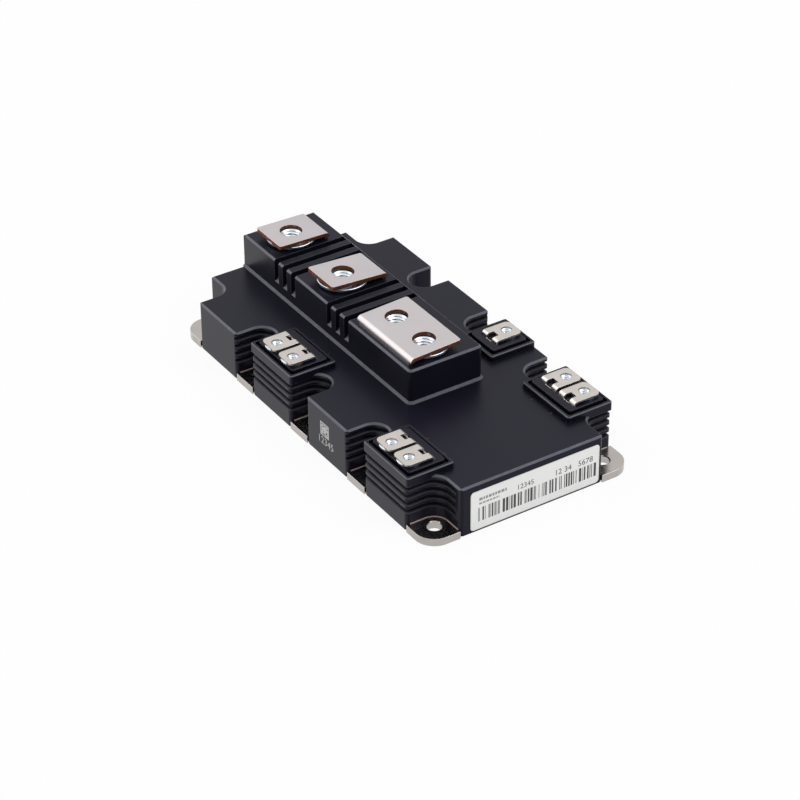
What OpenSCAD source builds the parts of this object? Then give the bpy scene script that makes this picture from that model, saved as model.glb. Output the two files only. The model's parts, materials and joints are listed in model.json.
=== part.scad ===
// Dual power switch module with a copper base plate, a ribbed moulded housing,
// four M8 power terminals in a raised block and seven M4 auxiliary terminals.
// Origin: centre of the underside of the base plate. +X runs to the label end, +Z is up.

/* [Base plate] */
// Length of the base plate
plate_l = 172; // [150:1:210]
// Width of the base plate
plate_w = 89; // [80:1:110]
// Thickness of the base plate
plate_t = 3; // [2:0.5:6]
// Corner radius of the base plate
plate_r = 8; // [3:0.5:8]
// Diameter of the mounting holes
hole_d = 5.5; // [4:0.1:7]
// Distance of the mounting holes from the plate edges
hole_edge = 8; // [7:0.5:9]
// Countersink at the top of each mounting hole
hole_sink = 0.3; // [0.1:0.1:0.6]
// Depth of the recesses in the plate edge that take the housing skirts
skirt_recess = 1.6; // [1:0.1:2]

/* [Housing] */
// Height of the flat top of the housing
body_top = 20.6; // [18:0.2:26]
// Distance of the housing faces inside the plate edges
face_inset = 0.15; // [0.1:0.05:0.5]
// Wall thickness of the housing
wall = 2.4; // [1.6:0.1:3]
// Radius of the notches round the mounting holes
notch_r = 5.75; // [5:0.25:7]
// Size of the broken top edges
edge = 0.7; // [0.3:0.1:1]
// Radius of the upright outer corners
corner_r = 1.5; // [1:0.1:2]
// Gap above the floor under the housing skirts
skirt_lift = 0.4; // [0.2:0.1:1]
// Thickness of the sealant between the housing and the base plate
seal_t = 0.25; // [0.1:0.05:0.5]

/* [Creepage ribs] */
// Number of grooves down each ribbed wall
groove_n = 4; // [2:1:5]
// Distance from the top of the housing to the first groove
groove_first = 2.6; // [2:0.1:3.5]
// Distance from one groove to the next
groove_pitch = 3.2; // [2.6:0.1:3.4]
// Depth of each groove
groove_depth = 1.2; // [0.6:0.1:1.4]
// Height of each groove where it opens
groove_mouth = 2.1; // [1.4:0.1:2.4]
// Height of each groove at its bottom
groove_root = 0.9; // [0.5:0.1:1.2]
// Distance from the label end at which the corner grooves stop
groove_stop = 3; // [2:0.5:4]

/* [Terminal block] */
// Height of the terminal block above the top of the housing
block_rise = 14.1; // [13:0.1:18]
// Length of the terminal block from the rear face
block_l = 117; // [114:1:130]
// Width of the terminal block
block_w = 31.8; // [30:0.2:34]
// Radius of the upright corners of the terminal block
block_r = 1.6; // [1:0.1:3]
// Foot of the block where it meets the housing top
block_foot = 0.9; // [0.4:0.1:1.5]
// Distances from the rear face to each set of creepage slots
slot_set_x = [22.9, 60.6]; // [22.9:0.1:61]
// Number of slots in each set
slot_n = 3; // [1:1:3]
// Width of each creepage slot
slot_w = 3; // [2:0.1:3.2]
// Distance from one slot to the next
slot_pitch = 6; // [5:0.1:6.2]
// Height of the slot floor above the housing top
slot_floor = 7.6; // [6:0.1:9]
// Length of the sloping mouth of each slot
slot_ramp = 3; // [1:0.1:4]
// Wall that closes each slot at the far side
slot_end_wall = 0.9; // [0.6:0.1:1.5]

/* [Power terminals] */
// Height of the terminal faces above the terminal block
term_rise = 3.3; // [3:0.1:5]
// Thickness of the power terminals
term_t = 1.5; // [1:0.1:2]
// Width of the single hole terminals
term_w = 17.6; // [16:0.1:19]
// Outer radius of the terminal bends
term_bend = 1.8; // [1.7:0.1:2.2]
// Radius of the corners at the free end of each terminal
term_corner = 1; // [0.5:0.1:2]
// How much narrower each leg is than its terminal, on each side
term_shoulder = 1.5; // [1.5:0.1:3]
// Distances from the rear face to the two direct current terminals
dc_x = [13.2, 50.5]; // [13:0.1:51]
// Distances from the centre line to the legs of the direct current terminals
dc_leg_y = [9.7, 12.2]; // [9.6:0.1:12.3]
// Distances from the centre line to their free ends
dc_free_y = [12.6, 12.6]; // [11:0.1:13]
// How far the free ends of the minus, plus and output terminals have sprung up
term_spring = [0.6, 1.6, 1]; // [0:0.1:2]
// Distance from the rear face to the middle of the output terminal
ac_x = 96.9; // [96:0.1:97]
// Distance from the centre line to the leg of the output terminal
ac_leg_y = 14; // [13.6:0.1:14]
// Distance from the centre line to its free end
ac_free_y = 8; // [7:0.1:9]
// Distance between the two holes of the output terminal
ac_pitch = 18.4; // [18:0.1:20]
// Distance of the hole centres from the centre line, towards the near side
term_hole_y = 2.4; // [1:0.1:4]
// Diameter of the terminal holes
term_hole_d = 8.8; // [8.4:0.1:9.5]
// Width across the flats of the M8 nuts
m8_flats = 13; // [12:0.5:14]
// Height of the M8 nuts
m8_h = 6.5; // [5:0.5:8]
// Radius of the round flange on the M8 nuts, less where two nuts stand side by side
m8_flange_r = 9.8; // [8:0.1:9.8]
// Thickness of the flange on each M8 nut
m8_flange_t = 1; // [0.8:0.1:1.4]
// Radius of the M8 threaded bore
m8_bore_r = 3.4; // [3.2:0.1:3.6]

/* [Auxiliary terminals] */
// Height of the auxiliary pads above the housing top
pad_rise = 2.3; // [1.5:0.1:3]
// Distance from the outer face to the inner edge of each pad
pad_d = 19.8; // [19:0.1:21]
// How far each pad stands out over the side walls below it
pad_over = 0.6; // [0.3:0.1:1]
// Length of the single terminal pad
pad_short = 19.4; // [17:0.1:20]
// Width of the rim round each pad
pad_rim = 1.1; // [0.8:0.1:1.5]
// Width and depth of the moat inside the rim
moat_w = 1.2; // [0.8:0.1:1.4]
// Height of the inner boss above the rim
boss_rise = 0.7; // [0.3:0.1:1.2]
// Thickness of the auxiliary terminals
tab_t = 0.8; // [0.5:0.1:1]
// Width of the auxiliary terminals
tab_w = 9.6; // [8:0.1:10]
// Distance between the two terminals of a pad
tab_pitch = 11.2; // [10.6:0.1:11.4]
// Shift of the terminals from the middle of their block towards the label end
tab_shift = 0; // [0:0.1:0.9]
// Distance from the outer face to the hole of each auxiliary terminal
tab_hole_edge = 6.5; // [6:0.1:7]
// Distance from the hole to the outer end of each auxiliary terminal
tab_nose = 4; // [3.2:0.1:4.2]
// Distance from the hole to the bent end of each auxiliary terminal
tab_tail = 8; // [7.5:0.1:8.5]
// Outer radius of the bend of each auxiliary terminal
tab_bend = 1.7; // [1.2:0.1:2]
// Width of the square slot in each bend
tab_slot = 3.4; // [2:0.1:4]
// Diameter of the auxiliary terminal holes
tab_hole_d = 4.4; // [4.2:0.1:5]
// Width across the flats of the M4 nuts
m4_flats = 7; // [6.5:0.1:7.5]
// Height of the M4 nuts
m4_h = 3.2; // [2.5:0.1:4]
// Radius of the round flange on each M4 nut
m4_flange_r = 4.5; // [4.4:0.1:5.2]
// Thickness of the flange on each M4 nut
m4_flange_t = 0.8; // [0.5:0.1:1]
// Radius of the M4 threaded bore
m4_bore_r = 1.65; // [1.5:0.05:1.8]

/* [Label] */
// Length of the label
label_l = 55.6; // [40:0.2:56]
// Height of the label
label_h = 16.4; // [12:0.2:16.6]
// Shift of the label from the centre line towards the far side
label_shift = 1.3; // [0:0.1:1.5]
// Thickness of the label
label_t = 0.12; // [0.1:0.01:0.2]

/* [Inside] */
// Number of ceramic tiles on the base plate
tile_n = 4; // [4:1:4]
// Gap between neighbouring tiles
tile_gap = 2.4; // [1.5:0.1:4]
// Width of each tile across the module
tile_w = 46; // [40:1:48]
// Thickness of the copper on each face of a tile
foil_t = 0.3; // [0.2:0.05:0.4]
// Thickness of the ceramic
ceramic_t = 0.6; // [0.4:0.05:1]
// Thickness of the silicon chips
chip_t = 0.3; // [0.2:0.05:0.5]
// Side of each square transistor chip
igbt_side = 9; // [8:0.5:9]
// Side of each square diode chip
diode_side = 8; // [6:0.5:8]
// Distance from the middle of a tile to its chips
chip_x = 9.2; // [9:0.1:10]
// Height of the silicone gel above the base plate
gel_h = 9; // [6:0.5:12]

/* [Hidden] */
$fn = 64;
eps = 0.01;
far = 200;
fit = 0.15; // clearance between a moulded seat and the piece in it
press = 0.05; // clearance round a piece that its seat grips

hole_x = plate_l / 2 - hole_edge;
hole_y = plate_w / 2 - hole_edge;
pitch = hole_x / 2;
holes = [for (i = [-2:2], s = [-1, 1]) [i * pitch, s * hole_y]];

body_l = plate_l - 2 * face_inset;
body_w = plate_w - 2 * face_inset;
body_x = body_l / 2;
body_y = body_w / 2;
floor_z = plate_t + seal_t;
end_half = hole_y - notch_r;
lobe_w = pitch - 2 * notch_r;
lobe_x = [for (i = [-1.5, -0.5, 0.5, 1.5]) i * pitch];

rear = -body_x;
block_front = rear + block_l;
block_top = body_top + block_rise;
slots_x = [for (s = slot_set_x, i = [0:slot_n - 1]) rear + s + i * slot_pitch];
slot_z = body_top + slot_floor;
slot_mouth_z = slot_z - slot_ramp;

cavity_x = body_x - wall - 0.6;
cavity_y = end_half - wall;
block_cavity_y = block_w / 2 - wall * 0.6;
block_cavity_top = slot_mouth_z - wall / 4;

term_top = block_top + term_rise;
term_under = term_top - term_t;
m8_seat = block_top - m8_h;
ac_flange_r = min(m8_flange_r, ac_pitch / 2 - 0.05);
dc_pos = [for (x = dc_x) [rear + x, -term_hole_y]];
ac_mid = rear + ac_x;
ac_w = ac_pitch + term_w;
ac_pos = [for (s = [-1, 1]) [ac_mid + s * ac_pitch / 2, -term_hole_y]];
m8_pos = concat(dc_pos, ac_pos);

pad_top = body_top + pad_rise;
boss_top = pad_top + boss_rise;
tab_under = boss_top + m4_flange_t;
tab_top = tab_under + tab_t;
m4_seat = tab_under - m4_h;
m4_well = 5;
tab_hole_y = body_y - tab_hole_edge;
tab_leg_y = tab_hole_y - tab_tail;
pad_inner = body_y - pad_d;
pad_l = lobe_w + 2 * pad_over;
pad_foot_z = body_top - groove_first + groove_mouth / 2 + fit;
pad_edge_y = hole_y - notch_r / 2;
// Each pad: [middle in x, side, length]
pads = [
    [lobe_x[1], -1, pad_l],
    [lobe_x[3], -1, pad_l],
    [lobe_x[2] - pad_l / 2 + pad_short / 2, 1, pad_short],
    [lobe_x[3], 1, pad_l]
];
// Each auxiliary terminal: [middle in x, side]
tabs = [
    [lobe_x[1] - tab_pitch / 2 + tab_shift, -1],
    [lobe_x[1] + tab_pitch / 2 + tab_shift, -1],
    [lobe_x[3] - tab_pitch / 2 + tab_shift, -1],
    [lobe_x[3] + tab_pitch / 2 + tab_shift, -1],
    [pads[2][0], 1],
    [lobe_x[3] - tab_pitch / 2 + tab_shift, 1],
    [lobe_x[3] + tab_pitch / 2 + tab_shift, 1]
];

tile_l = (2 * cavity_x - (tile_n + 1) * tile_gap) / tile_n;
tile_x = [for (i = [0:tile_n - 1]) (i - (tile_n - 1) / 2) * (tile_l + tile_gap)];
ceramic_z = plate_t + foil_t;
track_z = ceramic_z + ceramic_t;
chip_z = track_z + foil_t;
igbt_y = 16.9;
diode_y = -17.4;
ribbon_r = 3.5;
ribbon_t = 0.3;
ribbon_w = 1.2;
ribbon_pitch = 2.4;
strap_w = 4.4;
strap_t = 0.8;
strap_rise = 3;
strap_y = [-10.4, -2.2];
track_split = -6.4;
track_gap = 1.2;
tile_edge = 0.5;
foot_w = 8;
foot_len = 6;
leg_open_z = 9;
tab_stem_w = 6;
tab_pin_w = 3;
tab_foot_y = 21.6;
tab_pin_z = 15;
tab_sink = 1.2;
tab_corner = 2;
socket_wall = 1.6;

// ---------- Shared shapes ----------

// Slab with rounded corners whose corner radius goes from r0 at the bottom to r1 at the top
module slab(x0, x1, y0, y1, z0, h, core, r0, r1) {
    cx = [x0 + core, x1 - core];
    cy = [y0 + core, y1 - core];
    translate([0, cy[1], z0])
        rotate([90, 0, 0])
            linear_extrude(cy[1] - cy[0])
                polygon([[cx[0] - r0, 0], [cx[1] + r0, 0], [cx[1] + r1, h], [cx[0] - r1, h]]);
    translate([cx[0], 0, z0])
        rotate([90, 0, 90])
            linear_extrude(cx[1] - cx[0])
                polygon([[cy[0] - r0, 0], [cy[1] + r0, 0], [cy[1] + r1, h], [cy[0] - r1, h]]);
    for (x = cx, y = cy)
        translate([x, y, z0])
            cylinder(r1 = r0, r2 = r1, h = h);
}

// What lies outside a rounded corner, for a corner at the origin that points to +X +Y
module corner_waste(r) {
    difference() {
        translate([-r, -r])
            square(r + 1);
        translate([-r, -r])
            circle(r);
    }
}

module box(x0, x1, y0, y1, z0, z1) {
    translate([x0, y0, z0])
        cube([x1 - x0, y1 - y0, z1 - z0]);
}

module hexagon(flats, h) {
    rotate([0, 0, 30])
        cylinder(d = flats / cos(30), h = h, $fn = 6);
}

// ---------- Base plate ----------

module plate_outline(r) {
    x = plate_l / 2;
    y = plate_w / 2;
    square([plate_l, plate_w - 2 * r], center = true);
    square([plate_l - 2 * r, plate_w], center = true);
    for (i = [-1, 1], j = [-1, 1])
        translate([i * (x - r), j * (y - r)])
            circle(r);
}

// Places on the plate edge that take the housing skirts, with a clearance all round
module skirt_places(gap) {
    in_x = plate_l / 2 - skirt_recess;
    in_y = plate_w / 2 - skirt_recess;
    half = lobe_w / 2 + gap;
    for (x = lobe_x, s = [-1, 1])
        translate([x, s * (in_y - gap + far / 2)])
            square([2 * half, far], center = true);
    for (s = [-1, 1])
        translate([s * (in_x - gap + far / 2), 0])
            square([far, 2 * (end_half + gap)], center = true);
}

module base_plate() {
    color("#cfcac8")
        difference() {
            linear_extrude(plate_t)
                difference() {
                    plate_outline(plate_r);
                    skirt_places(0);
                }
            for (h = holes)
                translate([h[0], h[1], -1])
                    cylinder(d = hole_d, h = plate_t + 2);
            for (h = holes)
                translate([h[0], h[1], plate_t - hole_sink])
                    cylinder(d1 = hole_d, d2 = hole_d + 2 * hole_sink + 2 * eps, h = hole_sink + eps);
        }
}

module sealant() {
    color("#c9b3ae")
        translate([0, 0, plate_t])
            linear_extrude(seal_t)
                difference() {
                    square([2 * (plate_l / 2 - skirt_recess), 2 * (plate_w / 2 - skirt_recess)], center = true);
                    cavity_outline();
                    for (h = holes)
                        notch_waste(h, notch_r - seal_t);
                }
}

// ---------- Housing ----------

function outward(v) = v < 0 ? -1 : 1;
function at_end(h) = abs(h[0]) > hole_x - 1;
function ribbed_far(h) = h[1] > 0 && h[0] > -eps;
function ribbed_near(h) = h[1] < 0 && h[0] > -hole_x + 1;

// The open space over a mounting hole, seen from above
module notch_waste(h, r) {
    translate(h)
        circle(r);
    translate([h[0], h[1] + outward(h[1]) * far / 2])
        square([2 * r, far], center = true);
    if (at_end(h)) {
        translate([h[0] + outward(h[0]) * far / 2, h[1]])
            square([far, 2 * r], center = true);
        translate([h[0] + outward(h[0]) * far / 2, h[1] + outward(h[1]) * far / 2])
            square([far, far], center = true);
    }
}

module cavity_outline() {
    square([2 * cavity_x, 2 * cavity_y], center = true);
    for (x = lobe_x)
        translate([x, 0])
            square([lobe_w - 2 * wall, 2 * (body_y - wall)], center = true);
}

// Section of the grooves beyond a wall at distance r from the hole
module groove_teeth(r) {
    for (i = [0:groove_n - 1])
        translate([r, body_top - groove_first - i * groove_pitch])
            polygon([
                [-1, -groove_mouth / 2], [0, -groove_mouth / 2], [groove_depth, -groove_root / 2],
                [groove_depth, groove_root / 2], [0, groove_mouth / 2], [-1, groove_mouth / 2]
            ]);
}

// Section of the broken edge at the top of a wall at distance r from the hole
module top_break(r) {
    translate([r, body_top])
        polygon([[-1, 1], [-1, -edge - 1], [0, -edge], [edge, 0], [edge, 1]]);
}

// Sweeps a section round a hole, and straight on along the walls of its notch
module round_notch(h) {
    translate([h[0], h[1], 0]) {
        rotate_extrude()
            children();
        for (s = [-1, 1])
            scale([s, 1, 1])
                rotate([90, 0, 0])
                    translate([0, 0, h[1] > 0 ? -far : 0])
                        linear_extrude(far)
                            children();
    }
}

// Straight part of a section along the inner wall of a corner notch, up to the end at x
module along_end(h, x) {
    length = x - abs(h[0]);
    translate([h[0], h[1], 0])
        scale([outward(h[0]), -outward(h[1]), 1])
            rotate([90, 0, 90])
                linear_extrude(length)
                    children();
}

module notch_details() {
    for (h = holes) {
        round_notch(h)
            top_break(notch_r);
        if (at_end(h))
            along_end(h, far)
                top_break(notch_r);
        if (ribbed_near(h) || ribbed_far(h))
            round_notch(h)
                groove_teeth(notch_r);
        if (at_end(h) && (ribbed_near(h) || ribbed_far(h)))
            along_end(h, body_x - groove_stop)
                groove_teeth(notch_r);
    }
}

// Grooves and broken top edges of the outer faces
module face_details() {
    for (f = [[lobe_x[1], -1], [lobe_x[3], -1], [lobe_x[2], 1], [lobe_x[3], 1]])
        translate([f[0], f[1] * body_y, 0])
            scale([1, -f[1], 1])
                rotate([90, 0, 90])
                    translate([0, 0, -lobe_w / 2 - 1])
                        linear_extrude(lobe_w + 2)
                            groove_teeth(0);
    for (s = [-1, 1]) {
        scale([1, s, 1])
            translate([-far / 2, -body_y, 0])
                rotate([90, 0, 90])
                    linear_extrude(far)
                        top_break(0);
        scale([s, 1, 1])
            translate([-body_x, far / 2, 0])
                rotate([90, 0, 0])
                    linear_extrude(far)
                        top_break(0);
    }
}

module housing_body() {
    difference() {
        union() {
            translate([0, 0, floor_z])
                linear_extrude(body_top - floor_z)
                    square([body_l, body_w], center = true);
            translate([0, 0, skirt_lift])
                linear_extrude(floor_z)
                    intersection() {
                        square([body_l, body_w], center = true);
                        skirt_places(-fit);
                    }
        }
        translate([0, 0, -1])
            linear_extrude(far)
                for (h = holes)
                    notch_waste(h, notch_r);
        translate([0, 0, -1])
            linear_extrude(far)
                for (s = [-1, 1]) {
                    translate([body_x, s * end_half])
                        scale([1, s])
                            corner_waste(corner_r);
                    for (x = lobe_x, t = [-1, 1])
                        translate([x + t * lobe_w / 2, s * body_y])
                            scale([t, s])
                                corner_waste(corner_r);
                }
        notch_details();
        face_details();
    }
}

module terminal_block() {
    foot_z = body_top - eps;
    core = block_r;
    x0 = rear - far / 10;
    half = block_w / 2;
    difference() {
        union() {
            slab(x0, block_front, -half, half, foot_z, block_foot + eps, core, core + block_foot, core);
            slab(x0, block_front, -half, half, foot_z + block_foot, block_top - edge - foot_z - block_foot,
                core, core, core);
            slab(x0, block_front, -half, half, block_top - edge - eps, edge + eps, core, core, core - edge);
        }
        box(-far, rear, -far, far, -1, far);
        translate([rear, far / 2, block_top - body_top])
            rotate([90, 0, 0])
                linear_extrude(far)
                    scale([-1, 1])
                        top_break(0);
    }
}

module pad(p) {
    x0 = p[0] - p[2] / 2;
    x1 = p[0] + p[2] / 2;
    rise = pad_rise - edge / 2;
    inset = pad_rim + moat_w;
    scale([1, p[1], 1]) {
        difference() {
            union() {
                slab(x0, x1, pad_inner, body_y - eps, body_top - eps, rise + eps, 1, 1, 1);
                slab(x0, x1, pad_edge_y, body_y - eps, pad_foot_z, body_top - pad_foot_z, 1, 1, 1);
                slab(x0, x1, pad_inner, body_y - eps, body_top + rise - eps, edge / 2 + eps, 1, 1, 1 - edge / 2);
            }
            slab(x0 + pad_rim, x1 - pad_rim, pad_inner + pad_rim, body_y - pad_rim,
                pad_top - moat_w, moat_w + 1, 1, 1, 1);
        }
        slab(x0 + inset, x1 - inset, pad_inner + inset, body_y - inset,
            body_top - eps, pad_rise + boss_rise + eps, 1, 1, 1);
    }
}

// Everything that is open inside the housing
module housing_voids() {
    translate([0, 0, -eps])
        linear_extrude(body_top - wall + eps)
            cavity_outline();
    box(-cavity_x, block_front - wall, -block_cavity_y, block_cavity_y, body_top - wall - eps, block_cavity_top);
}

// Blind sockets under the nuts, which leave room for the ends of the screws
module screw_sockets() {
    for (p = m8_pos)
        translate([p[0], p[1], m8_seat - m8_h - socket_wall])
            cylinder(r = m8_bore_r + 2 * socket_wall, h = m8_h);
    for (t = tabs)
        translate([t[0], t[1] * tab_hole_y, m4_seat - m4_well - socket_wall])
            cylinder(r = m4_bore_r + 2 * socket_wall, h = m4_well);
}

module nut_seats() {
    for (p = m8_pos)
        translate([p[0], p[1], 0]) {
            translate([0, 0, m8_seat])
                hexagon(m8_flats + 2 * press, far);
            translate([0, 0, m8_seat - m8_h])
                cylinder(r = m8_bore_r + socket_wall / 2, h = far);
        }
    for (t = tabs)
        translate([t[0], t[1] * tab_hole_y, 0]) {
            translate([0, 0, m4_seat])
                hexagon(m4_flats + 2 * press, far);
            translate([0, 0, m4_seat - m4_well])
                cylinder(r = m4_bore_r + socket_wall / 2, h = far);
        }
}

module creepage_slots() {
    half = block_w / 2;
    for (x = slots_x)
        translate([x, 0, 0])
            rotate([90, 0, 90])
                linear_extrude(slot_w)
                    polygon([
                        [-half - 1, slot_mouth_z - 1], [-half + slot_ramp, slot_z],
                        [half - slot_end_wall, slot_z], [half - slot_end_wall, far], [-half - 1, far]
                    ]);
}

// Slots through the housing for the legs of the terminals
module leg_seats() {
    half = term_w / 2 - term_shoulder + press;
    for (i = [0, 1])
        box(rear + dc_x[i] - half, rear + dc_x[i] + half, dc_leg_y[i] - term_t - press, dc_leg_y[i] + press,
            body_top - wall - eps, far);
    ac_half = ac_w / 2 - term_shoulder + press;
    box(ac_mid - ac_half, ac_mid + ac_half, -ac_leg_y - press, term_t - ac_leg_y + press, body_top - wall - eps, far);
    for (t = tabs)
        scale([1, t[1], 1]) {
            box(t[0] - tab_stem_w / 2 - press, t[0] + tab_stem_w / 2 + press,
                tab_leg_y - press, tab_leg_y + tab_t + press, body_top - wall - eps, far);
            box(t[0] - tab_w / 2 - press, t[0] + tab_w / 2 + press,
                tab_leg_y - press, tab_leg_y + tab_t + press, boss_top - tab_sink - press, far);
        }
}

module housing() {
    color("#383a47")
        difference() {
            union() {
                difference() {
                    union() {
                        housing_body();
                        terminal_block();
                        for (p = pads)
                            pad(p);
                    }
                    housing_voids();
                }
                screw_sockets();
            }
            nut_seats();
            creepage_slots();
            leg_seats();
        }
}

// ---------- Terminals ----------

// Bent strip: the leg stands at x = 0, the face runs towards +X and may have sprung up by an angle
module strip_side(reach, t, r, top, low, foot, lift) {
    translate([0, low])
        square([t, top - r - low]);
    translate([min(foot, 0), low])
        square([max(foot, t) - min(foot, 0), t]);
    translate([r, top - r]) {
        intersection() {
            difference() {
                circle(r);
                circle(r - t);
            }
            polygon([[0, 0], [-2 * r, 0], [-2 * r, 2 * r], 2 * r * [-sin(lift), cos(lift)]]);
        }
        rotate(lift)
            translate([-eps, r - t + eps / 2])
                square([reach - r + eps, t - eps]);
    }
}

// Strip of a given width with holes of diameter d, at distance hole_u from the leg
module strip(width, reach, t, r, top, low, foot, lift, corner, hole_u, hole_v, d) {
    difference() {
        translate([0, width / 2, 0])
            rotate([90, 0, 0])
                linear_extrude(width)
                    strip_side(reach, t, r, top, low, foot, lift);
        translate([r, 0, top - r])
            rotate([0, -lift, 0]) {
                for (v = hole_v)
                    translate([hole_u - r, v, 0])
                        cylinder(d = d, h = far);
                for (s = [-1, 1])
                    translate([reach - r, s * width / 2, 0])
                        linear_extrude(far)
                            scale([1, s])
                                corner_waste(corner);
            }
    }
}

// Power terminal with its leg cut down to one foot, which stands at foot_v across the strip
module power_strip(width, reach, hole_u, spring, hole_v, foot_v) {
    half = width / 2;
    shoulder_z = term_top - term_bend;
    lift = asin(spring / reach);
    difference() {
        strip(width, reach, term_t, term_bend, term_top, chip_z, foot_len, lift, term_corner,
            hole_u, hole_v, term_hole_d);
        for (s = [-1, 1])
            scale([1, s, 1])
                box(-1, term_t + 1, half - term_shoulder, far, 0, shoulder_z);
        box(-1, foot_len + 1, -far, foot_v - foot_w / 2, 0, leg_open_z);
        box(-1, foot_len + 1, foot_v + foot_w / 2, far, 0, leg_open_z);
    }
}

module dc_terminal(i) {
    translate([rear + dc_x[i], dc_leg_y[i], 0])
        rotate([0, 0, -90])
            power_strip(term_w, dc_leg_y[i] + dc_free_y[i], dc_leg_y[i] + term_hole_y, term_spring[i], [0], i);
}

module dc_minus_terminal() {
    color("#d7d2d3")
        dc_terminal(0);
}

module dc_plus_terminal() {
    color("#d7d2d3")
        dc_terminal(1);
}

module output_terminal() {
    color("#d7d2d3")
        translate([ac_mid, -ac_leg_y, 0])
            rotate([0, 0, 90])
                power_strip(ac_w, ac_leg_y + ac_free_y, ac_leg_y - term_hole_y, term_spring[2],
                    [-ac_pitch / 2, ac_pitch / 2], ac_mid - tile_x[2]);
}

module aux_terminal(t) {
    half = tab_w / 2;
    color("#e0dbd6")
        translate([t[0], t[1] * tab_leg_y, 0])
            rotate([0, 0, t[1] * 90])
                difference() {
                    strip(tab_w, tab_tail + tab_nose, tab_t, tab_bend, tab_top, chip_z,
                        tab_foot_y - tab_leg_y, 0, tab_corner, tab_tail, [0], tab_hole_d);
                    box(-1, tab_slot, -tab_slot / 2, tab_slot / 2, boss_top - tab_t / 2, far);
                    for (s = [-1, 1])
                        scale([1, s, 1]) {
                            box(-far, tab_t + 1, tab_stem_w / 2, far, 0, boss_top - tab_sink);
                            box(-far, tab_t + 1, tab_pin_w / 2, far, 0, tab_pin_z);
                        }
                }
}

module aux_terminal_1() {
    aux_terminal(tabs[0]);
}

module aux_terminal_2() {
    aux_terminal(tabs[1]);
}

module aux_terminal_3() {
    aux_terminal(tabs[2]);
}

module aux_terminal_4() {
    aux_terminal(tabs[3]);
}

module aux_terminal_5() {
    aux_terminal(tabs[4]);
}

module aux_terminal_6() {
    aux_terminal(tabs[5]);
}

module aux_terminal_7() {
    aux_terminal(tabs[6]);
}

module flange_nut(flats, h, flange_r, flange_t, bore_r) {
    difference() {
        union() {
            hexagon(flats, h);
            translate([0, 0, h - flange_t])
                cylinder(r = flange_r, h = flange_t);
        }
        translate([0, 0, -1])
            cylinder(r = bore_r, h = h + 2);
    }
}

module m8_nuts() {
    height = term_under - m8_seat;
    color("#c3cad2") {
        for (p = dc_pos)
            translate([p[0], p[1], m8_seat])
                flange_nut(m8_flats, height, m8_flange_r, m8_flange_t, m8_bore_r);
        for (p = ac_pos)
            translate([p[0], p[1], m8_seat])
                flange_nut(m8_flats, height, ac_flange_r, m8_flange_t, m8_bore_r);
    }
}

module m4_nuts() {
    color("#c3cad2")
        for (t = tabs)
            translate([t[0], t[1] * tab_hole_y, m4_seat])
                flange_nut(m4_flats, m4_h, m4_flange_r, m4_flange_t, m4_bore_r);
}

module label() {
    r = 1.5;
    color("#f4f4f2")
        translate([body_x, label_shift, body_top / 2 - 1])
            rotate([90, 0, 90])
                linear_extrude(label_t)
                    difference() {
                        square([label_l, label_h], center = true);
                        for (i = [-1, 1], j = [-1, 1])
                            translate([i * label_l / 2, j * label_h / 2])
                                scale([i, j])
                                    corner_waste(r);
                    }
}

// ---------- Inside ----------

module ceramic_tile(i) {
    color("#e9e7e0")
        translate([tile_x[i], 0, ceramic_z])
            linear_extrude(ceramic_t)
                square([tile_l, tile_w], center = true);
}

module ceramic_tile_1() {
    ceramic_tile(0);
}

module ceramic_tile_2() {
    ceramic_tile(1);
}

module ceramic_tile_3() {
    ceramic_tile(2);
}

module ceramic_tile_4() {
    ceramic_tile(3);
}

// Copper on both faces of a tile: a plain sheet below, two tracks above
module tile_copper(i) {
    foil_l = tile_l - 2 * tile_edge;
    foil_w = tile_w - 2 * tile_edge;
    color("#c98a5b")
        translate([tile_x[i], 0, 0]) {
            translate([0, 0, plate_t])
                linear_extrude(foil_t)
                    square([foil_l, foil_w], center = true);
            box(-foil_l / 2, foil_l / 2, -foil_w / 2, track_split - track_gap / 2, track_z, chip_z);
            box(-foil_l / 2, foil_l / 2, track_split + track_gap / 2, foil_w / 2, track_z, chip_z);
        }
}

module tile_copper_1() {
    tile_copper(0);
}

module tile_copper_2() {
    tile_copper(1);
}

module tile_copper_3() {
    tile_copper(2);
}

module tile_copper_4() {
    tile_copper(3);
}

module chips(side, y) {
    for (x = tile_x, s = [-1, 1])
        translate([x + s * chip_x, y, chip_z + chip_t / 2])
            cube([side, side, chip_t], center = true);
}

module igbt_chips() {
    color("#6d727c")
        chips(igbt_side, igbt_y);
}

module diode_chips() {
    color("#868b93")
        chips(diode_side, diode_y);
}

module thermistor() {
    color("#2f3338")
        translate([tile_x[3], 1.5, chip_z])
            linear_extrude(1.2)
                square([3.2, 1.6], center = true);
}

// Aluminium ribbon that arches from one chip down to the copper and on to the next chip
module ribbon() {
    base_z = chip_z + chip_t;
    translate([0, ribbon_w / 2, 0])
        rotate([90, 0, 0])
            linear_extrude(ribbon_w) {
                for (s = [-1, 1])
                    translate([s * ribbon_r, base_z])
                        difference() {
                            circle(ribbon_r);
                            circle(ribbon_r - ribbon_t);
                            translate([-far / 2, -far])
                                square([far, far]);
                        }
                translate([-ribbon_t, chip_z])
                    square([2 * ribbon_t, chip_t + ribbon_t]);
            }
}

module bond_ribbons() {
    color("#d9dbde")
        for (x = tile_x) {
            for (i = [-1.5:1.5])
                translate([x, igbt_y + i * ribbon_pitch, 0])
                    ribbon();
            for (i = [-1:1])
                translate([x, diode_y + i * ribbon_pitch, 0])
                    ribbon();
        }
}

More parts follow.
